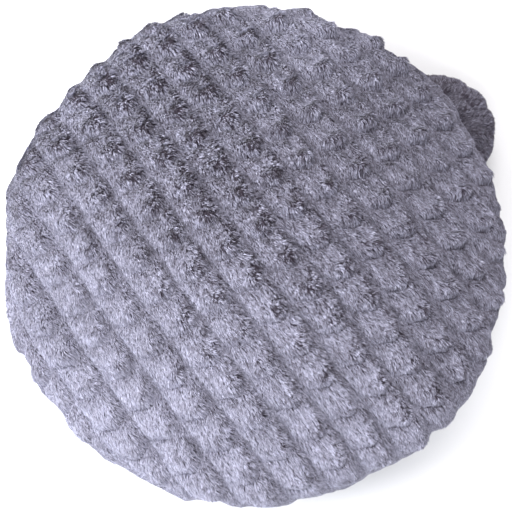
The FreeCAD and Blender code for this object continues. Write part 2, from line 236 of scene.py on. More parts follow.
def length_to(z, inset):
    """Length along the section from the middle down to height z on the side."""
    crown, roll, side = CROWN_R - inset, EDGE_ROLL - inset, SIDE_ROLL - inset
    equator = crown * CROWN_LEAN + roll * (math.pi / 2 - CROWN_LEAN)
    return equator + side * math.asin((EQUATOR_Z - z) / side)


EQUATOR_S = length_to(EQUATOR_Z, PILE_DEPTH)
RIM_S = EQUATOR_S - RIM_WIDTH
SEAM_S = length_to(SEAM_Z + 1 * MM, PILE_DEPTH)
WINDOW_S = length_to(SEAM_Z + WINDOW_HALF + 1.5 * MM, PILE_DEPTH)


def rim_share(s):
    """0 on the crown to 1 at the widest line."""
    return smooth((s - RIM_S) / RIM_WIDTH)


def window_share(theta):
    """1 where the zip window cuts the panel's edge back, 0 elsewhere."""
    ramp = math.radians(1.2)
    turn = np.mod(theta, TAU)
    return smooth((turn - WINDOW[0]) / ramp) * smooth((WINDOW[1] - turn) / ramp)


def far_share(u, v):
    """0 at the near left, where the domes run together, to 1 at the far right, where they stand apart."""
    return smooth((0.6 * u + 0.8 * v + 80 * MM) / (210 * MM))


def lattice(u, v):
    """Places along the two families of embossed rows, in rows: a valley lies at each whole number.

    Each dome leans along the nap, so its near right end is the steeper one, and that end is round.
    """
    a = (u * math.cos(TURN_A) + v * math.sin(TURN_A)) / PITCH_A + PHASE_A
    b = (u * math.cos(TURN_B) + v * math.sin(TURN_B)) / PITCH_B + PHASE_B
    a = a + DRIFT * soft_noise(u, v, 60 * MM, 0)
    b = b + DRIFT * soft_noise(u, v, 60 * MM, 1)
    far = far_share(u, v)
    a = a - 0.10 * (np.sin(math.pi * a) ** 2 - 0.5)
    b = b + (0.24 + 0.04 * far) * (np.sin(math.pi * b) ** 2 - 0.5)
    b = b + (0.30 + 0.10 * far) * (np.sin(math.pi * a) ** 2 - 0.6)
    return a, b


def bubble(u, v):
    """Height of the embossing at a place on the panel, from 0 in the valleys to 1 on the domes."""
    a, b = lattice(u, v)
    far = far_share(u, v)
    dome_a = np.abs(np.sin(math.pi * a)) ** (1.15 + 0.45 * far)
    dome_b = np.abs(np.sin(math.pi * b)) ** (0.85 + 0.75 * far)
    return dome_a * (1 - (0.58 + 0.37 * far) * (1 - dome_b))


def inflate():
    """How far the stuffed cover stands out unevenly, on a grid of rows down the section and columns round it.

    A closed shell of cloth, gathered into a fixed seam, is blown up by its own pressure.
    """
    ss, tt = np.meshgrid(
        np.linspace(FORM_START, SEAM_S, FORM_ROWS), azimuths(FORM_COLUMNS), indexing="ij"
    )
    r, z, out, up = section(ss, PILE_DEPTH + 4 * MM)
    u, v = ss * np.cos(tt), ss * np.sin(tt)
    gather = np.sin(19 * tt + 2 * np.sin(5 * tt)) + 0.6 * np.sin(31 * tt + 2 * np.sin(3 * tt))
    lumps = 3.0 * MM * soft_noise(u, v, 55 * MM, 1) + 2.2 * MM * gather * smooth(ss / SEAM_S * 4 - 3)
    even = on_rings(r, tt, z)
    r, z = r + out * lumps, z + up * lumps
    rings = on_rings(r, tt, z).reshape(-1, 3)
    middles = np.array([[0, 0, z[0].mean()], [0, 0, 4 * MM]])
    shell = capped_rings("form", rings, middles, FORM_COLUMNS, [])
    seam = shell.vertex_groups.new(name="seam")
    seam.add([*range(len(rings) - FORM_COLUMNS, len(rings)), len(rings) + 1], 1.0, "REPLACE")
    cloth = shell.modifiers.new("stuffing", "CLOTH")
    cloth.settings.use_pressure = True
    cloth.settings.uniform_pressure_force = 4
    cloth.settings.effector_weights.gravity = 0
    cloth.settings.vertex_group_mass = "seam"
    cloth.point_cache.frame_start, cloth.point_cache.frame_end = 1, FORM_FRAMES
    for step in range(1, FORM_FRAMES + 1):
        bpy.context.scene.frame_set(step)
    blown = shell.evaluated_get(bpy.context.evaluated_depsgraph_get())
    places = np.empty(len(blown.data.vertices) * 3, np.float32)
    blown.data.vertices.foreach_get("co", places)
    places = places.reshape(-1, 3)[: len(rings)].reshape(FORM_ROWS, FORM_COLUMNS, 3)
    swell = np.sum((places - even) * on_rings(out, tt, up), -1)
    bpy.context.scene.frame_set(1)
    bpy.data.objects.remove(shell)
    return np.clip(swell - swell.mean(axis=1, keepdims=True) + 1.5 * MM, 0, FORM_LIMIT)


def form_at(s, theta):
    """The unevenness of the stuffing at any place."""
    i = np.clip((s - FORM_START) / (SEAM_S - FORM_START) * (FORM_ROWS - 1), 0, FORM_ROWS - 1.001)
    j = np.mod(theta / TAU, 1) * FORM_COLUMNS
    i0, j0 = np.floor(i).astype(int), np.floor(j).astype(int) % FORM_COLUMNS
    j1 = (j0 + 1) % FORM_COLUMNS
    fi, fj = i - i0, j - np.floor(j)
    near = FORM[i0, j0] * (1 - fj) + FORM[i0, j1] * fj
    far = FORM[i0 + 1, j0] * (1 - fj) + FORM[i0 + 1, j1] * fj
    return (near * (1 - fi) + far * fi) * smooth(s / (30 * MM))


def plush_point(s, theta, inset=PILE_DEPTH, rise=BUBBLE_RISE):
    """A point on the plush's ground cloth, or on its plain lining if it has no rise."""
    r, z, out, up = section(s, inset)
    if rise:
        u, v = s * np.cos(theta), s * np.sin(theta)
        even = smooth((s - EQUATOR_S + 48 * MM) / (36 * MM))
        swell = rise * (bubble(u, v) - BUBBLE_MEAN) * (1 - 0.86 * even)
        swell = swell + 0.9 * MM * soft_noise(u, v, 90 * MM, 2)
        swell = swell + form_at(s, theta)
        swell = swell * smooth((SEAM_S - s) / (12 * MM))
        swell = swell + RIM_BULGE * rim_share(s) * smooth((SEAM_S - s) / (30 * MM))
        gather = np.sin(46 * theta + 2.0 * np.sin(7 * theta))
        seam = smooth((s - SEAM_S + 16 * MM) / (14 * MM)) * (1 - window_share(theta))
        swell = swell + (SEAM_BULGE + 0.5 * MM * gather) * seam
        r, z = r + out * swell, z + up * swell
    return on_rings(r, theta, z)


def plush_frame(s, theta):
    """Point, outward normal and the directions of u and v on the plush."""
    step = 0.8 * MM
    turn = step / np.maximum(s, step)
    p = plush_point(s, theta)
    along = (plush_point(s + step, theta) - plush_point(s - step, theta)) / (2 * step)
    round_ = (plush_point(s, theta + turn) - plush_point(s, theta - turn)) / (2 * turn)[..., None]
    n = unit(np.cross(along, round_))
    c, d = np.cos(theta)[..., None], np.sin(theta)[..., None]
    round_ = round_ / np.maximum(s, step)[..., None]
    return p, n, along * c - round_ * d, along * d + round_ * c


# --- Materials ------------------------------------------------------------------------------------------


def new_material(name, colour, roughness, sheen=0.0, metallic=0.0):
    """A Principled material and its node tree's main nodes."""
    material = bpy.data.materials.new(name)
    material.use_nodes = True
    shader = material.node_tree.nodes["Principled BSDF"]
    shader.inputs["Base Color"].default_value = (*colour, 1)
    shader.inputs["Roughness"].default_value = roughness
    shader.inputs["Metallic"].default_value = metallic
    shader.inputs["Sheen Weight"].default_value = sheen
    return material, shader, material.node_tree


def add_node(tree, kind, **values):
    """A node with some of its inputs or properties set."""
    node = tree.nodes.new(kind)
    for key, value in values.items():
        if hasattr(node, key):
            setattr(node, key, value)
        else:
            node.inputs[key.replace("_", " ").title()].default_value = value
    return node


def colour_between(tree, shader, factor, low, high):
    """Runs the base colour from low to high with a node's output."""
    ramp = add_node(tree, "ShaderNodeValToRGB")
    ramp.color_ramp.elements[0].color = (*low, 1)
    ramp.color_ramp.elements[1].color = (*high, 1)
    tree.links.new(factor, ramp.inputs["Fac"])
    tree.links.new(ramp.outputs["Color"], shader.inputs["Base Color"])


def bump_from(tree, shader, height, depth):
    """Bumps the surface by a node's output, up to depth metres."""
    bump = add_node(tree, "ShaderNodeBump")
    bump.inputs["Distance"].default_value = depth
    bump.inputs["Strength"].default_value = 0.6
    tree.links.new(height, bump.inputs["Height"])
    tree.links.new(bump.outputs["Normal"], shader.inputs["Normal"])


def roughness_from(tree, shader, factor, low, high):
    """Runs the roughness from low to high with a node's output."""
    remap = add_node(tree, "ShaderNodeMapRange")
    remap.inputs["To Min"].default_value = low
    remap.inputs["To Max"].default_value = high
    tree.links.new(factor, remap.inputs["Value"])
    tree.links.new(remap.outputs["Result"], shader.inputs["Roughness"])


def pile_material(name, colour):
    """One tint of the plush's fibres: soft, with a little sheen and roughness that varies along it."""
    material, shader, tree = new_material(name, colour, 0.62, sheen=0.25)
    shader.inputs["Sheen Roughness"].default_value = 0.45
    shader.inputs["Specular IOR Level"].default_value = 0.25
    noise = add_node(tree, "ShaderNodeTexNoise", scale=900)
    coords = add_node(tree, "ShaderNodeTexCoord")
    tree.links.new(coords.outputs["Object"], noise.inputs["Vector"])
    roughness_from(tree, shader, noise.outputs["Fac"], 0.5, 0.78)
    return material


def thread_bands(tree, coords, axis, pitch):
    """Soft bands across one axis, one to each pitch. Blender's own bands lie TAU / 20 apart."""
    wave = add_node(tree, "ShaderNodeTexWave", bands_direction=axis)
    wave.inputs["Scale"].default_value = TAU / 20 / pitch
    wave.inputs["Distortion"].default_value = 0.4
    tree.links.new(coords, wave.inputs["Vector"])
    return wave.outputs["Fac"]


def woven_material(name, low, high, axes, pitch, roughness, sheen):
    """Plain weave: two families of threads over and under each other, with worn and darker places."""
    material, shader, tree = new_material(name, high, roughness, sheen=sheen)
    coords = add_node(tree, "ShaderNodeTexCoord").outputs["Object"]
    warp = thread_bands(tree, coords, axes[0], pitch)
    weft = thread_bands(tree, coords, axes[1], pitch)
    cross = add_node(tree, "ShaderNodeMath", operation="MULTIPLY")
    tree.links.new(warp, cross.inputs[0])
    tree.links.new(weft, cross.inputs[1])
    wear = add_node(tree, "ShaderNodeTexNoise", scale=35.0, detail=4.0)
    tree.links.new(coords, wear.inputs["Vector"])
    mix = add_node(tree, "ShaderNodeMix", blend_type="MIX")
    mix.inputs["Factor"].default_value = 0.45
    tree.links.new(cross.outputs[0], mix.inputs["A"])
    tree.links.new(wear.outputs["Fac"], mix.inputs["B"])
    colour_between(tree, shader, mix.outputs["Result"], low, high)
    bump_from(tree, shader, cross.outputs[0], 0.3 * MM)
    roughness_from(tree, shader, wear.outputs["Fac"], roughness - 0.1, roughness + 0.1)
    return material


def grained_material(
    name, low, high, scale, roughness, depth, metallic=0.0, sheen=0.0, stretch=(1, 1, 1)
):
    """Moulded, matted or brushed: noise in the colour, the gloss and the surface."""
    material, shader, tree = new_material(name, high, roughness, sheen=sheen, metallic=metallic)
    coords = add_node(tree, "ShaderNodeTexCoord").outputs["Object"]
    squeeze = add_node(tree, "ShaderNodeMapping")
    squeeze.inputs["Scale"].default_value = stretch
    tree.links.new(coords, squeeze.inputs["Vector"])
    grain = add_node(tree, "ShaderNodeTexNoise", scale=scale, detail=5.0)
    tree.links.new(squeeze.outputs["Vector"], grain.inputs["Vector"])
    colour_between(tree, shader, grain.outputs["Fac"], low, high)
    roughness_from(tree, shader, grain.outputs["Fac"], roughness - 0.12, roughness + 0.12)
    bump_from(tree, shader, grain.outputs["Fac"], depth)
    return material


pile_materials = [
    pile_material(f"pile_{i}", tuple(PILE_DARK + (PILE_LIGHT - PILE_DARK) * (i / (TINTS - 1)) ** 1.2))
    for i in range(TINTS)
]
BASE_CLOTH = woven_material("base_cloth", (0.10, 0.10, 0.12), (0.24, 0.235, 0.27), "XY", 1.5 * MM, 0.7, 0.15)
TAPE_CLOTH = woven_material("zip_tape", (0.14, 0.135, 0.17), (0.30, 0.29, 0.36), "XZ", 0.5 * MM, 0.75, 0.2)
LABEL_CLOTH = woven_material("label_cloth", (0.26, 0.26, 0.28), (0.40, 0.40, 0.42), "YZ", 0.35 * MM, 0.5, 0.1)
THREAD = grained_material("thread", (0.26, 0.25, 0.31), (0.40, 0.39, 0.47), 2500, 0.6, 0.1 * MM, sheen=0.2)
LINER = grained_material("liner", (0.70, 0.70, 0.71), (0.85, 0.85, 0.86), 700, 0.8, 0.15 * MM, sheen=0.1)
LINER_THREAD = grained_material("liner_thread", (0.72, 0.72, 0.74), (0.86, 0.86, 0.88), 2500, 0.6, 0.1 * MM)
FIBRE = grained_material("fibre", (0.78, 0.78, 0.80), (0.92, 0.92, 0.93), 260, 0.9, 1.5 * MM, sheen=0.3)
SILICONE = grained_material("silicone", (0.30, 0.30, 0.33), (0.40, 0.40, 0.44), 500, 0.42, 0.05 * MM)
TEETH = grained_material("zip_teeth", (0.20, 0.195, 0.24), (0.30, 0.29, 0.35), 900, 0.38, 0.05 * MM)
METAL = grained_material(
    "zip_metal", (0.50, 0.50, 0.52), (0.66, 0.66, 0.68), 60, 0.32, 0.02 * MM, metallic=1.0,
    stretch=(1, 1, 30),
)

NODE_MATERIALS = {
    "grip_dots": SILICONE,
    "inner_case_closing_stitches": LINER_THREAD,
    "zip_top_stops": METAL,
    "zip_bottom_stop": METAL,
    "zip_slider": METAL,
    "zip_pull_tab": METAL,
}


# --- Meshes ---------------------------------------------------------------------------------------------


def mesh_object(name, points, loops, sizes, materials, indices=None, shade=True):
    """A mesh from flat arrays: all corners one after another, and how many each face has."""
    mesh = bpy.data.meshes.new(name)
    mesh.vertices.add(len(points))
    mesh.vertices.foreach_set("co", np.asarray(points, np.float32).ravel())
    mesh.loops.add(len(loops))
    mesh.loops.foreach_set("vertex_index", np.asarray(loops, np.int32))
    mesh.polygons.add(len(sizes))
    starts = np.concatenate([[0], np.cumsum(sizes)[:-1]])
    mesh.polygons.foreach_set("loop_start", starts.astype(np.int32))
    mesh.polygons.foreach_set("loop_total", np.asarray(sizes, np.int32))
    for material in materials:
        mesh.materials.append(material)
    if indices is not None:
        mesh.polygons.foreach_set("material_index", np.asarray(indices, np.int32))
    mesh.update(calc_edges=True)
    mesh.validate()
    if shade:
        mesh.shade_smooth()
    made = bpy.data.objects.new(name, mesh)
    bpy.context.scene.collection.objects.link(made)
    return made


def grid_faces(rows, columns, offset=0, flip=False):
    """Quads between rows of points that close round in columns."""
    i, j = np.meshgrid(np.arange(rows - 1), np.arange(columns), indexing="ij")
    k = (j + 1) % columns
    quad = np.stack([i * columns + j, (i + 1) * columns + j, (i + 1) * columns + k, i * columns + k], -1)
    if flip:
        quad = quad[..., ::-1]
    return quad.reshape(-1, 4) + offset


def capped_rings(name, rings, poles, columns, materials, flip=False, indices=None):
    """A closed mesh of rings of points, with a fan to a pole at each end."""
    count, last = len(rings), len(rings) - columns
    j = np.arange(columns)
    k = (j + 1) % columns
    first_fan = np.stack([np.full(columns, count), j, k], -1)
    last_fan = np.stack([np.full(columns, count + 1), last + k, last + j], -1)
    if flip:
        first_fan, last_fan = first_fan[:, [0, 2, 1]], last_fan[:, [0, 2, 1]]
    quads = grid_faces(count // columns, columns, flip=flip)
    loops = np.concatenate([quads.ravel(), first_fan.ravel(), last_fan.ravel()])
    sizes = np.concatenate([np.full(len(quads), 4), np.full(2 * columns, 3)])
    return mesh_object(name, np.concatenate([rings, poles]), loops, sizes, materials, indices)


def edge_s(s, theta):
    """Lengths along the section, with the last of the side drawn up where the zip window is."""
    end = SEAM_S + (WINDOW_S - SEAM_S) * window_share(theta)
    share = np.clip((s - EQUATOR_S) / (SEAM_S - EQUATOR_S), 0, 1)
    return np.where(s < EQUATOR_S, s, EQUATOR_S + share * (end - EQUATOR_S))


def make_plush():
    """The ground cloth of the top panel: bubbled outside, plain inside, closed along its lower edge.

    Its dark tints are painted shade under the pile: the darkest on the crown, the paler one down the side and
    inside.
    """
    theta = azimuths(PLUSH_COLUMNS)
    first = 1.5 * MM
    s_out = np.linspace(first, SEAM_S, PLUSH_RINGS)
    s_in = np.linspace(SEAM_S, first, LINING_RINGS)
    plain = {"inset": LINING_DEPTH, "rise": 0.0}
    layers, poles = [], []
    for s, how in ((s_out, {}), (s_in, plain)):
        ss, tt = np.meshgrid(s, theta, indexing="ij")
        layers.append(plush_point(edge_s(ss, tt), tt, **how))
        poles.append(plush_point(np.zeros(1), np.zeros(1), **how))
    rings = np.concatenate(layers).reshape(-1, 3)
    bands = np.arange(PLUSH_RINGS + LINING_RINGS - 1)
    paler = np.repeat(bands > np.searchsorted(s_out, RIM_S + 20 * MM), PLUSH_COLUMNS)
    paler = np.concatenate([paler, np.zeros(PLUSH_COLUMNS), np.ones(PLUSH_COLUMNS)])
    return capped_rings(
        "plush_panel", rings, np.concatenate(poles), PLUSH_COLUMNS, pile_materials[:2], indices=paler
    )


def clump(u, v, size):
    """Offset in the panel to the tuft that each fibre leans into, and two random numbers of that tuft."""
    i0, j0 = np.floor(u / size).astype(int), np.floor(v / size).astype(int)
    best = np.full(u.shape, 1e9)
    du, dv = np.zeros_like(u), np.zeros_like(v)
    pick = [np.zeros_like(u), np.zeros_like(u)]
    for di in (-1, 0, 1):
        for dj in (-1, 0, 1):
            i, j = (i0 + di) % NOISE_SIZE, (j0 + dj) % NOISE_SIZE
            cu = (i0 + di + 0.5 + 0.45 * NOISE_TABLES[3][i, j]) * size
            cv = (j0 + dj + 0.5 + 0.45 * NOISE_TABLES[4][i, j]) * size
            far = (cu - u) ** 2 + (cv - v) ** 2
            near = far < best
            best = np.where(near, far, best)
            du, dv = np.where(near, cu - u, du), np.where(near, cv - v, dv)
            pick[0] = np.where(near, NOISE_TABLES[5][i, j], pick[0])
            pick[1] = np.where(near, NOISE_TABLES[6][i, j], pick[1])
    return du, dv, pick[0], pick[1]


def fibres(name, p, n, eu, ev, u, v, upright, lean, turn, length, width, tint):
    """Pile as slim kite-shaped blades of two triangles, split so that no piece is too large to keep whole.

    Where the pile is upright, it stands in separate tufts with dark gaps between them. The lower triangle of
    each blade carries painted shade: three tints darker where the pile is upright, one elsewhere.
    """
    count = len(p)
    du, dv, tuft_c, tuft_b = clump(u, v, TUFT)
    tuft_a = clump(u, v, LOCK)[2]
    turn = turn + (0.12 + 1.20 * upright) * tuft_a
    along, across = nap_axes(u, v, turn)
    turn = turn + (0.10 + 0.30 * upright) * rng.standard_normal(count)
    tint = tint + (0.2 + 1.8 * upright) * tuft_c
    tint = tint + 5.6 * upright * soft_noise(along / 3, across, STROKE, 7)
    lean = lean + (0.04 + 0.25 * upright) * tuft_b + (0.05 + 0.12 * upright) * rng.standard_normal(count)
    nap = unit(eu * np.cos(turn)[:, None] + ev * np.sin(turn)[:, None])
    nap = unit(nap - n * np.sum(nap * n, -1, keepdims=True))
    grow = unit(n * np.cos(lean)[:, None] + nap * np.sin(lean)[:, None])
    bent = unit(n * np.cos(lean + 0.35)[:, None] + nap * np.sin(lean + 0.35)[:, None])
    pull = (eu * du[:, None] + ev * dv[:, None]) * (0.3 + 2.3 * upright)[:, None]
    length = length * (1 + 0.12 * tuft_b + 0.12 * rng.standard_normal(count))
    middle = p + grow * (0.55 * length)[:, None] + pull * 0.30
    tip = middle + bent * (0.45 * length)[:, None] + pull * 0.35
    roll = 0.7 * rng.standard_normal(count)
    side = unit(np.cross(nap, n))
    side = unit(side * np.cos(roll)[:, None] + np.cross(unit(tip - p), side) * np.sin(roll)[:, None])
    half = (0.5 * width * (1 + 0.2 * rng.standard_normal(count)))[:, None]
    root = p - n * PILE_ROOT
    points = np.stack([root, middle - side * half, middle + side * half, tip], 1)
    spread = 0.45 + 0.6 * upright
    shade = np.clip(np.round(tint + spread * rng.standard_normal(count)), 0, TINTS - 1).astype(int)
    # Painted shade at the roots: the lower triangle is three tints darker where upright, one elsewhere.
    low = np.maximum(shade - np.where(upright > 0.4, 3, 1), 0)
    made = []
    for part, begin in enumerate(range(0, count, FIBRES_PER_PIECE)):
        take = slice(begin, min(begin + FIBRES_PER_PIECE, count))
        size = take.stop - begin
        base = np.arange(size)[:, None] * 4
        loops = (base + np.array([0, 2, 1, 1, 2, 3])).ravel()
        index = np.stack([low[take], shade[take]], -1).ravel()
        corners = points[take].reshape(-1, 3)
        sizes = np.full(2 * size, 3)
        made.append(mesh_object(f"{name}_{part + 1}", corners, loops, sizes, pile_materials, index))
    return made


def ruffle(u, v):
    """How far the pile is brushed up on end, from 0 to 1.

    It is so on the far right side of the domes, in a band from the far left to the middle.
    """
    along, across = nap_axes(u, v)
    patch = 0.16 * soft_noise(u, v, 50 * MM, 5) - 0.03
    band = np.exp(-((across / RUFFLED_WIDTH) ** 2)) * (0.74 - 0.22 * along / BED_R)
    band = np.clip(band + patch, 0, 1)
    a, b = lattice(u, v)
    dome_side = 0.5 - 0.5 * np.cos(TAU * (a - 0.10))
    dome_top = 0.5 - 0.5 * np.cos(TAU * b)
    rim = rim_share(np.hypot(u, v))
    return band * (1 - 0.6 * rim) * (0.15 + 0.85 * dome_side * (0.05 + 0.95 * dome_top))


def streaks(u, v):
    """Light and dark hairs lying together along the nap, from -1 to 1."""
    along, across = nap_axes(u, v)
    across = across + 3 * MM * soft_noise(u, v, 25 * MM, 2)
    fine = soft_noise(along / 6, across, 1.0 * MM, 3)
    return 0.65 * fine + 0.35 * soft_noise(along / 4, across, 2.4 * MM, 4)


def make_pile():
    """Pile all over the top panel: its places, then how it stands, then its tint."""
    s_table = np.linspace(0, SEAM_S, 2000)
    r_table = section(s_table, PILE_DEPTH)[0]
    area = np.concatenate([[0], np.cumsum((r_table[1:] + r_table[:-1]) / 2)])
    share = (np.arange(FIBRES) + 0.5 + 0.4 * rng.standard_normal(FIBRES)) / FIBRES
    s = np.interp(np.clip(share, 0, 1) * area[-1], area, s_table)
    golden = math.pi * (3 - math.sqrt(5))
    stray = rng.standard_normal(FIBRES) * 0.6 * MM / np.maximum(s, 1 * MM)
    theta = np.arange(FIBRES) * golden + stray
    order = np.argsort(np.mod(theta, TAU), kind="stable")
    s, theta = s[order], np.mod(theta[order], TAU)
    s = edge_s(s, theta)
    p, n, eu, ev = plush_frame(s, theta)
    u, v = s * np.cos(theta), s * np.sin(theta)
    high = bubble(u, v)
    upright = ruffle(u, v)
    patch = soft_noise(u, v, 45 * MM, 7)
    lean = 1.02 + 0.10 * patch - 0.50 * upright
    turn = NAP_TURN + 0.30 * soft_noise(u, v, 70 * MM, 6)
    # Painted light in the tint: lighter towards the near left, as the key lamp falls there.
    painted_light_low_left = smooth(0.25 - (0.50 * u + 0.75 * v) / BED_R)
    rim = rim_share(s)
    lean = lean + 0.30 * rim
    # Painted light on the far left, painted shade in the middle and on the right of the crown.
    painted_light_far_left = smooth((1.0 * v - 0.4 * u) / BED_R - 0.3)
    middle = np.exp(-((u - 60 * MM) ** 2 + (v - 20 * MM) ** 2) / (130 * MM) ** 2)
    right = smooth((0.9 * u + 0.1 * v) / BED_R)
    tint = 2.7 + 0.9 * painted_light_low_left + 0.9 * painted_light_far_left - 0.42 * right - 0.4 * middle
    # Upright pile is painted darker, as shade seen down between its tufts; the streaks are random tone.
    tint = tint + 0.1 * patch - 0.45 * upright + (0.9 + 1.0 * upright) * streaks(u, v)
    length = PILE_LENGTH * (0.8 + 0.25 * high) * (1 - 0.25 * rim)
    width = PILE_WIDTH * 1.0
    return fibres("pile", p, n, eu, ev, u, v, upright, lean, turn, length, width, tint)


def fold_point(across, up):
    """A point on the fold of spare plush: across runs round it in plan, and up from its keel to its top."""
    ring = np.cos(up)
    x = FOLD_CENTRE.x + FOLD_HALF[0] * np.cos(across) * ring
    y = FOLD_HALF[1] * np.sin(across) * ring
    z = FOLD_CENTRE.z + FOLD_HALF[2] * np.sin(up)
    row_a = np.abs(np.sin(math.pi * (y / (31 * MM) + 0.35)))
    row_b = np.abs(np.sin(math.pi * ((x - FOLD_CENTRE.x) / (33 * MM) + z / (60 * MM) + 0.1)))
    swell = FOLD_RISE * (row_a**0.8 * row_b**0.8 - 0.5)
    x = x + swell * np.cos(across) * ring * 0.6
    z = z + swell * np.sin(up)
    x = np.maximum(x, FOLD_BACK)
    c, d = math.cos(FOLD_TURN), math.sin(FOLD_TURN)
    return np.stack([x * c - y * d, x * d + y * c, z], -1)


def fold_frame(across, up):
    """Point, outward normal and the directions round and up the fold."""
    step = 0.02
    p = fold_point(across, up)
    round_ = fold_point(across + step, up) - fold_point(across - step, up)
    rise = fold_point(across, up + step) - fold_point(across, up - step)
    return p, unit(np.cross(round_, rise)), unit(round_), unit(rise)


def make_fold():
    """The fold's closed lump of ground cloth, in a dark tint that is painted shade under its pile."""
    rows, columns = 41, 120
    up = np.linspace(-math.pi / 2 + 0.05, math.pi / 2 - 0.05, rows)
    across = azimuths(columns)
    uu, aa = np.meshgrid(up, across, indexing="ij")
    rings = fold_point(aa, uu).reshape(-1, 3)
    poles = np.stack([fold_point(np.float64(0), np.float64(side * math.pi / 2)) for side in (-1, 1)])
    return capped_rings("plush_side_fold", rings, poles, columns, [pile_materials[1]], flip=True)


def make_fold_pile():
    """Pile on the outside of the fold, brushed out and down, in low tints that are painted shade, as the fold
    lies in the bed's shadow.
    """
    up = np.arcsin(rng.random(FOLD_FIBRES) * 1.96 - 0.98)
    across = (rng.random(FOLD_FIBRES) * 2 - 1) * math.radians(100)
    p, n, round_, rise = fold_frame(across, up)
    outside = np.hypot(p[:, 0], p[:, 1]) > FOLD_BACK + 1 * MM
    p, n, round_, rise, up, across = (item[outside] for item in (p, n, round_, rise, up, across))
    u, v = across * FOLD_HALF[1], up * 30 * MM
    lean = 1.12 + 0.12 * soft_noise(u, v, 20 * MM, 7)
    turn = -math.pi / 2 + 0.5 * soft_noise(u, v, 25 * MM, 6)
    # Painted shade: the fold's pile is tinted far darker than the top's.
    tint = 1.3 + 1.2 * streaks(u, v)
    upright = np.full(len(p), 0.15)
    return fibres("fold_pile", p, n, round_, rise, u, v, upright, lean, turn, PILE_LENGTH, PILE_WIDTH, tint)


# --- Base, zip and label --------------------------------------------------------------------------------


def base_wall(z, inset):
    """Radius of the base panel's turned-up edge at height z."""
    turn = TURN_UP - inset
    return BASE_FLAT + np.sqrt(np.maximum(turn**2 - (SEAM_Z - z) ** 2, 0))


def make_base():
    """Base cloth: flat on its dots, turned up to the seam in small gathers, and hemmed along the zip."""
    theta = azimuths(BASE_COLUMNS)
    share = window_share(theta)
    top = SEAM_Z - (WINDOW_HALF + 0.3 * MM) * share
    wide = (0.5 + 0.5 * np.cos(46 * theta + 2 * np.sin(7 * theta))) ** 5
    narrow = (0.5 + 0.5 * np.cos(83 * theta + 3 * np.sin(5 * theta))) ** 4
    tuck = (wide + 0.6 * narrow) * (1 + 0.5 * np.sin(9 * theta + 2 * np.sin(4 * theta)))
    rings = []
    for inset, steps in ((0.0, 1), (BASE_CLOTH_THICKNESS, -1)):
        side = []
        for r in np.linspace(2 * MM, BASE_FLAT, BASE_FLAT_RINGS):
            side.append((np.full(BASE_COLUMNS, r), np.full(BASE_COLUMNS, DOT_HEIGHT + inset)))
        for k in range(1, BASE_TURN_RINGS + 1):
            turn = math.pi / 2 * k / BASE_TURN_RINGS
            z = SEAM_Z - (TURN_UP - inset) * math.cos(turn)
            z = DOT_HEIGHT + inset + (z - DOT_HEIGHT - inset) / TURN_UP * (top - DOT_HEIGHT)
            r = base_wall(z, inset)
            rise = math.sin(turn) ** 2 * (1 - share) * min(1, 4 * (1 - k / BASE_TURN_RINGS))
            r = r - TUCK_DEPTH * tuck * rise
            if inset:
                hem = share * smooth((z - HEM_Z) / (1 * MM))
                r = r + (HEM_R - r) * hem
            side.append((r, z))
        rings += side[::steps]
    r = np.stack([item[0] for item in rings])
    z = np.stack([item[1] for item in rings])
    points = on_rings(r, theta, z).reshape(-1, 3)
    middle = np.array([[0, 0, DOT_HEIGHT], [0, 0, DOT_HEIGHT + BASE_CLOTH_THICKNESS]])
    return capped_rings("base_panel", points, middle, BASE_COLUMNS, [BASE_CLOTH], flip=True)


def pillow_side(upper, skin, theta):
    """Rings of the inner pillow's upper or lower half from its middle to its seam, puckered at the seam."""
    if upper:
        inset = PILLOW_INSET + skin
        r, z, out, up = section(np.linspace(3 * MM, length_to(EQUATOR_Z, inset), 70), inset)
    else:
        turn = EQUATOR_Z - PILLOW_FLOOR - skin
        flat = np.linspace(3 * MM, PILLOW_R - skin - turn, 40)
        angle = np.linspace(0, math.pi / 2, 31)[1:]
        r = np.concatenate([flat, PILLOW_R - skin - turn + turn * np.sin(angle)])
        z = np.concatenate([np.full(len(flat), PILLOW_FLOOR + skin), EQUATOR_Z - turn * np.cos(angle)])
        out = np.concatenate([np.zeros(len(flat)), np.sin(angle)])
        up = -np.sqrt(1 - out**2)
    near = smooth(1 - np.hypot(r - PILLOW_R, z - EQUATOR_Z) / (45 * MM))[:, None]
    pucker = np.sin(38 * theta + 2 * np.sin(5 * theta)) + 0.6 * np.sin(61 * theta + 3 * np.sin(7 * theta))
    u, v = r[:, None] * np.cos(theta), r[:, None] * np.sin(theta)
    dents = (0.9 + 0.8 * soft_noise(u, v, 35 * MM, 6)) * MM * smooth(out[:, None] * 3)
    sink = np.maximum(near * (1.7 + pucker) * MM + dents, 0)
    r, z = r[:, None] - out[:, None] * sink, z[:, None] - up[:, None] * sink
    return on_rings(r, theta, z)


def make_pillow_case(name, upper):
    """One disc of the inner pillow's case, puckered along the seam that joins it to the other."""
    theta = azimuths(PILLOW_COLUMNS)
    outer, inner = pillow_side(upper, 0.0, theta), pillow_side(upper, LINER_THICKNESS, theta)
    rings = np.concatenate([outer, inner[::-1]])
    poles = np.array([[0, 0, outer[0, 0, 2]], [0, 0, inner[0, 0, 2]]])
    return capped_rings(name, rings.reshape(-1, 3), poles, PILLOW_COLUMNS, [LINER], flip=not upper)


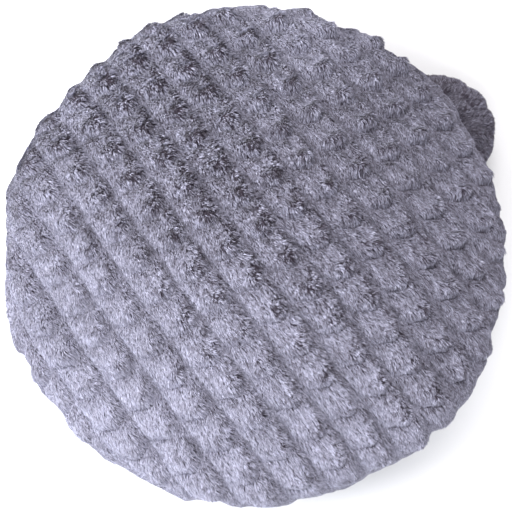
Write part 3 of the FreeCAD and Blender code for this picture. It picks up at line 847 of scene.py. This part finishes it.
def make_fill():
    """The fibre inside the case, lumpy wherever the case lets it be."""
    theta = azimuths(PILLOW_COLUMNS)
    skin = LINER_THICKNESS + FILL_CLEAR
    rings = np.concatenate([pillow_side(True, skin, theta), pillow_side(False, skin, theta)[-2::-1]])
    turn = np.arctan2(rings[..., 2] - EQUATOR_Z, np.hypot(rings[..., 0], rings[..., 1]))
    lump = 1 - (0.006 + 0.006 * soft_noise(rings[..., 0] + turn, rings[..., 1] - turn, 14 * MM, 5))
    rings = (rings - [0, 0, EQUATOR_Z]) * lump[..., None] + [0, 0, EQUATOR_Z]
    poles = np.array([[0, 0, rings[0, :, 2].mean()], [0, 0, rings[-1, :, 2].mean()]])
    return capped_rings("pillow_fibre", rings.reshape(-1, 3), poles, PILLOW_COLUMNS, [FIBRE])


def strip(name, outline, start, stop, columns, material, fixed, closed):
    """A long piece of cloth run round part of the bed: outline is (radius, height) anticlockwise.

    Its height above or below the fixed edge grows by the share closed where the chain doesn't reach.
    """
    theta = np.linspace(start, stop, columns)
    wave = 0.05 * MM * np.sin(theta * 61 + 2 * np.sin(theta * 17))
    r = np.array([item[0] for item in outline])[None, :] + wave[:, None]
    ramp = math.radians(1.5)
    beyond = np.maximum(smooth(1 - (theta - start) / ramp), smooth((theta - BOTTOM_STOP) / ramp))
    height = np.array([item[1] for item in outline])[None, :] - fixed
    z = fixed + height * (1 + closed * beyond[:, None])
    points = on_rings(r, theta[:, None], z).reshape(-1, 3)
    count = len(outline)
    quads = grid_faces(columns, count, flip=True)
    first_end = np.arange(count)
    last_end = first_end[::-1] + (columns - 1) * count
    loops = np.concatenate([quads.ravel(), first_end, last_end])
    sizes = np.concatenate([np.full(len(quads), 4), [count, count]])
    return mesh_object(name, points, loops, sizes, [material], shade=False)


def make_tape(name, side):
    """A zip tape with a thicker corded edge next to the teeth."""
    near, far = SEAM_Z + side * TAPE_NEAR, SEAM_Z + side * TAPE_FAR
    cord = near + side * TAPE_CORD
    half = [(-TAPE_THICK, near), (TAPE_THICK, near), (TAPE_THICK, cord), (TAPE_THIN, cord)]
    half += [(TAPE_THIN, far), (-TAPE_THIN, far), (-TAPE_THIN, cord), (-TAPE_THICK, cord)]
    outline = [(TAPE_R + out, height) for out, height in half]
    if side < 0:
        outline = outline[::-1]
    closed = (TAPE_NEAR - 0.1 * MM) / (TAPE_FAR - TAPE_NEAR)
    return strip(name, outline, WINDOW[0] + TAPE_INSET, WINDOW[1] - TAPE_INSET, 300, TAPE_CLOTH, far, closed)


def copies(name, template, faces, turns, radius, height, material, shade=False):
    """Many copies of a small template round the bed. Template axes: along the circle, up, outwards."""
    count, size = len(turns), len(template)
    c, d = np.cos(turns)[:, None], np.sin(turns)[:, None]
    along, up, out = template[None, :, 0], template[None, :, 1], template[None, :, 2]
    x = (radius + out) * c - along * d
    y = (radius + out) * d + along * c
    z = np.broadcast_to(height + up, x.shape)
    points = np.stack([x, y, z], -1).reshape(-1, 3)
    each = np.concatenate([np.array(face) for face in faces])
    loops = (np.arange(count)[:, None] * size + each[None, :]).ravel()
    sizes = np.tile([len(face) for face in faces], count)
    return mesh_object(name, points, loops, sizes, [material], shade=shade)


def tooth_template(side):
    """One moulded tooth: a foot round the tape's corded edge, a neck and a wider rounded head.

    The head reaches between two heads of the other row. The three lists are in mm.
    """
    heights = [-0.60, -0.35, 0.45, 1.00, 2.60, 3.10, 3.20]
    widths = [0.45, 0.80, 0.85, 0.58, 0.70, 0.75, 0.60]
    depths = [0.80, 1.15, 1.25, 1.15, 1.35, 1.35, 1.15]
    sides = 12
    angles = azimuths(sides)
    square = 1 / np.maximum(np.abs(np.cos(angles)) ** 4 + np.abs(np.sin(angles)) ** 4, 1e-9) ** 0.25
    x, z = np.cos(angles) * square, np.sin(angles) * square
    rings = [
        np.stack([width * x, np.full(sides, side * height), depth * z], -1)
        for height, width, depth in zip(heights, widths, depths)
    ]
    points = np.concatenate(rings) * MM
    flip = side < 0
    faces = [list(face) for face in grid_faces(len(heights), sides, flip=flip)]
    first, last = list(range(sides)), list(range((len(heights) - 1) * sides, len(heights) * sides))
    faces += [first[::-1], last] if flip else [first, last[::-1]]
    return points, faces


def make_teeth(name, side):
    """A row of teeth, the lower one half a pitch along so that the rows interlock."""
    step = TOOTH_PITCH / TAPE_R
    count = int(CHAIN_SPAN / step)
    turns = CHAIN_START + (np.arange(count) + (0 if side > 0 else 0.5)) * step
    template, faces = tooth_template(side)
    return copies(name, template, faces, turns, TAPE_R, SEAM_Z, TEETH)


def make_stitches(name, height, pitch, length, start, stop, radius, material):
    """A row of thread that dips into the cloth at each end of every stitch."""
    sides, rings = 8, 9
    x = np.linspace(-0.5, 0.5, rings)
    dip = -(np.abs(2 * x) ** 4) * 0.9 * MM
    thick = 0.40 * MM * (1 - 0.45 * np.abs(2 * x) ** 3)
    angles = azimuths(sides)
    up, out = np.outer(thick, np.cos(angles)).ravel(), np.outer(thick, np.sin(angles)).ravel()
    template = np.stack([np.repeat(x * length, sides), up, np.repeat(dip, sides) + out], -1)
    faces = [list(face) for face in grid_faces(rings, sides)]
    faces += [list(range(sides)), list(range((rings - 1) * sides, rings * sides))[::-1]]
    step = pitch / radius
    turns = start + (np.arange(int((stop - start) / step)) + 0.5) * step
    return copies(name, template, faces, turns, radius, height, material, shade=True)


def make_label():
    """A blank cloth label, folded double and caught in the seam, hanging with a slight curl."""
    across, down = 27, 19
    x = np.linspace(-LABEL_WIDTH / 2, LABEL_WIDTH / 2, across)[None, :]
    t = np.linspace(0, 1, down)[:, None]
    curl = 0.5 * MM * np.sin(3.2 * t + 1.5 * x / LABEL_WIDTH) * t
    curl = LABEL_CLEAR + curl + 0.3 * MM * np.cos(TAU * x / LABEL_WIDTH) * t
    sides = [
        np.stack(np.broadcast_arrays(x, -t * LABEL_DROP, curl + half), -1)
        for half in (LABEL_HALF, -LABEL_HALF)
    ]
    local = np.concatenate(sides).reshape(-1, 3)
    c, d = math.cos(LABEL_TURN), math.sin(LABEL_TURN)
    out = SEAM_R + local[:, 2]
    points = np.stack([out * c - local[:, 0] * d, out * d + local[:, 0] * c, SEAM_Z + local[:, 1]], -1)
    size = across * down
    faces = []
    for i in range(down - 1):
        for j in range(across - 1):
            a, b = i * across + j, (i + 1) * across + j
            faces.append([a, b, b + 1, a + 1])
            faces.append([size + a, size + a + 1, size + b + 1, size + b])
    rim = list(range(across)) + [i * across + across - 1 for i in range(1, down)]
    rim += [(down - 1) * across + j for j in range(across - 2, -1, -1)]
    rim += [i * across for i in range(down - 2, 0, -1)]
    for a, b in zip(rim, rim[1:] + rim[:1]):
        faces.append([a, b, size + b, size + a])
    loops = np.concatenate([np.array(face) for face in faces])
    return mesh_object("label", points, loops, [len(face) for face in faces], [LABEL_CLOTH])


# --- Pieces, the bodies they ride on and the CAD nodes they stand for ----------------------------------

FORM = inflate()
plush = make_plush()
fold = make_fold()
for piece in (plush, fold):
    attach(piece, "cushion")
    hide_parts("cover_top_panel")
for piece in make_pile() + make_fold_pile():
    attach(piece, "cushion")

stitch_r = base_wall(STITCH_Z, 0.0) + STITCH_PROUD
stitches = make_stitches("topstitches", STITCH_Z, STITCH_PITCH, STITCH_LENGTH, *WINDOW, stitch_r, THREAD)
base, label = make_base(), make_label()
pillow = [
    make_pillow_case("pillow_case_top", True),
    make_pillow_case("pillow_case_base", False),
    make_fill(),
]
rows = [
    (base, "cover_base_panel", "base_cloth"),
    (make_tape("tape_upper", 1), "zip_tape_upper", "zip_tape"),
    (make_tape("tape_lower", -1), "zip_tape_lower", "zip_tape"),
    (make_teeth("teeth_upper", 1), "zip_teeth_upper", "zip_teeth"),
    (make_teeth("teeth_lower", -1), "zip_teeth_lower", "zip_teeth"),
    (stitches, "zip_topstitches", "thread"),
    (label, "care_label", "label_cloth"),
    (pillow[0], "inner_case_top", "liner"),
    (pillow[1], "inner_case_base", "liner"),
    (pillow[2], "fibre_fill", "fibre"),
]
for piece, node, slot in rows:
    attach(piece, "cushion")
    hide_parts(node)


# --- Stage ----------------------------------------------------------------------------------------------


def make_floor():
    """A plain floor just below the bed."""
    mesh = bpy.data.meshes.new("floor")
    corners = [(x * FLOOR_HALF, y * FLOOR_HALF, FLOOR_Z) for x, y in ((-1, -1), (1, -1), (1, 1), (-1, 1))]
    mesh.from_pydata(corners, [], [(0, 1, 2, 3)])
    made = bpy.data.objects.new("floor", mesh)
    bpy.context.scene.collection.objects.link(made)
    made.data.materials.append(new_material("floor_white", (0.86, 0.86, 0.87), 0.9)[0])


def area_light(name, place, target, size, watts, colour):
    """A round soft light turned towards a target."""
    light = bpy.data.lights.new(name, "AREA")
    light.shape = "DISK"
    light.size = size
    light.energy = watts
    light.color = colour
    made = bpy.data.objects.new(name, light)
    made.location = place
    made.rotation_euler = (Vector(target) - Vector(place)).to_track_quat("-Z", "Y").to_euler()
    bpy.context.scene.collection.objects.link(made)


def make_camera():
    """Nearly overhead, looking along +Y and steeply down."""
    back = Vector((0, -math.cos(CAMERA_PITCH), math.sin(CAMERA_PITCH)))
    camera = bpy.data.cameras.new("camera")
    camera.sensor_width = CAMERA_SENSOR
    camera.lens = CAMERA_DISTANCE * CAMERA_SENSOR / CAMERA_VIEW_WIDTH
    camera.clip_start = 0.01
    made = bpy.data.objects.new("camera", camera)
    made.location = CAMERA_TARGET + back * CAMERA_DISTANCE
    made.rotation_euler = (-back).to_track_quat("-Z", "Y").to_euler()
    bpy.context.scene.collection.objects.link(made)
    bpy.context.scene.camera = made


make_floor()
area_light("key", (-1.2, -0.05, 0.82), (0, 0, 0.05), 0.8, 25.5, (0.95, 0.97, 1.0))
area_light("front", (-0.5, -1.3, 1.3), (0, 0, 0.05), 1.2, 22, (0.95, 0.97, 1.0))
area_light("top", (0.0, 1.0, 1.7), (0, 0, 0), 1.6, 30, (1.0, 0.97, 0.96))
world = bpy.data.worlds.new("studio")
world.use_nodes = True
background = world.node_tree.nodes["Background"]
background.inputs["Color"].default_value = (0.95, 0.96, 1.0, 1)
background.inputs["Strength"].default_value = 0.50
bpy.context.scene.world = world
make_camera()
bpy.context.scene.view_settings.view_transform = "Standard"

for node, material in NODE_MATERIALS.items():
    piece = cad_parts[node]
    piece.data.materials.clear()
    piece.data.materials.append(material)
